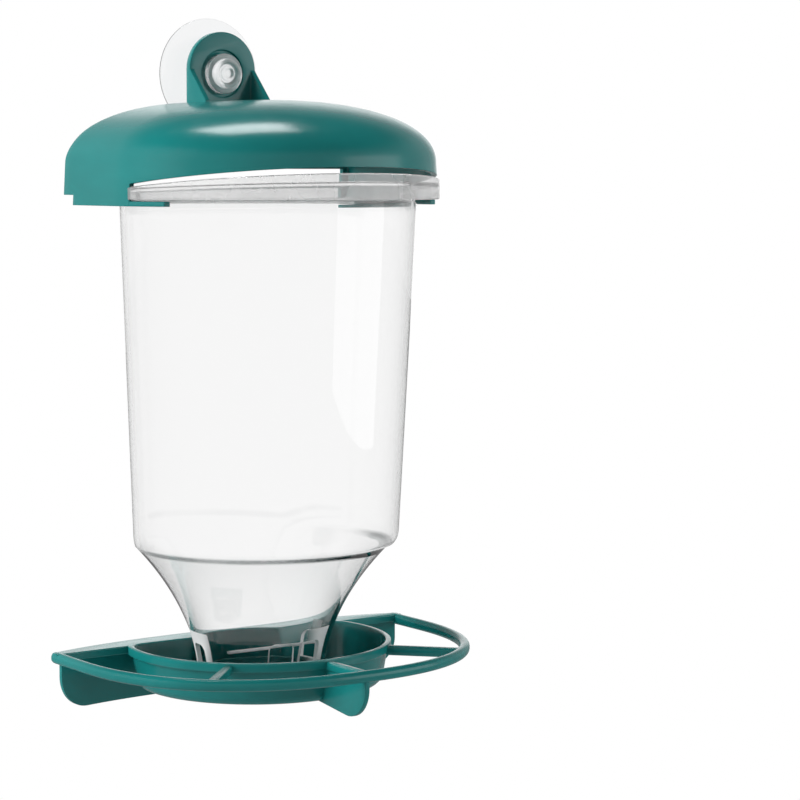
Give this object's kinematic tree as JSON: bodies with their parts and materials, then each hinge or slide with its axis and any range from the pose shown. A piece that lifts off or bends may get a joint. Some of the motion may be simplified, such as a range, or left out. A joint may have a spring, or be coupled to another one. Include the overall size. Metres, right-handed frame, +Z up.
{
  "type": "window bird feeder",
  "caption": "Clear seed hopper with a domed green lid hung from a suction cup, over a seed bowl with an open perch ring.",
  "frame": {"origin": "centre of the suction cup's rim, on the window pane", "axes": "+Z up, +Y towards the pane, +X to the right seen from the room-side front of the feeder"},
  "size_m": [0.1448, 0.1045, 0.2411],
  "materials": {
    "cup_clear": "clear flexible plastic, glossy",
    "lid_green": "dark teal green moulded plastic, glossy top",
    "hopper_clear": "clear rigid plastic, polished",
    "tray_green": "dark teal green moulded plastic, semi-gloss"
  },
  "bodies": {
    "cup": {"suction_cup": "cup_clear"},
    "lid": {"lid": "lid_green"},
    "hopper": {"hopper": "hopper_clear"},
    "tray": {"tray": "tray_green"}
  },
  "joints": [
    {"name": "lid_swivel", "type": "hinge", "parent": "cup", "child": "lid", "pos_m": [0, 0, 0], "axis": [0, -1, 0], "continuous": true},
    {"name": "hopper_slide", "type": "slide", "parent": "lid", "child": "hopper", "axis": [0, -1, 0], "range_m": [0, 0.055]},
    {"name": "tray_pull", "type": "slide", "parent": "hopper", "child": "tray", "axis": [0, 0, -1], "range_m": [0, 0.012]}
  ]
}
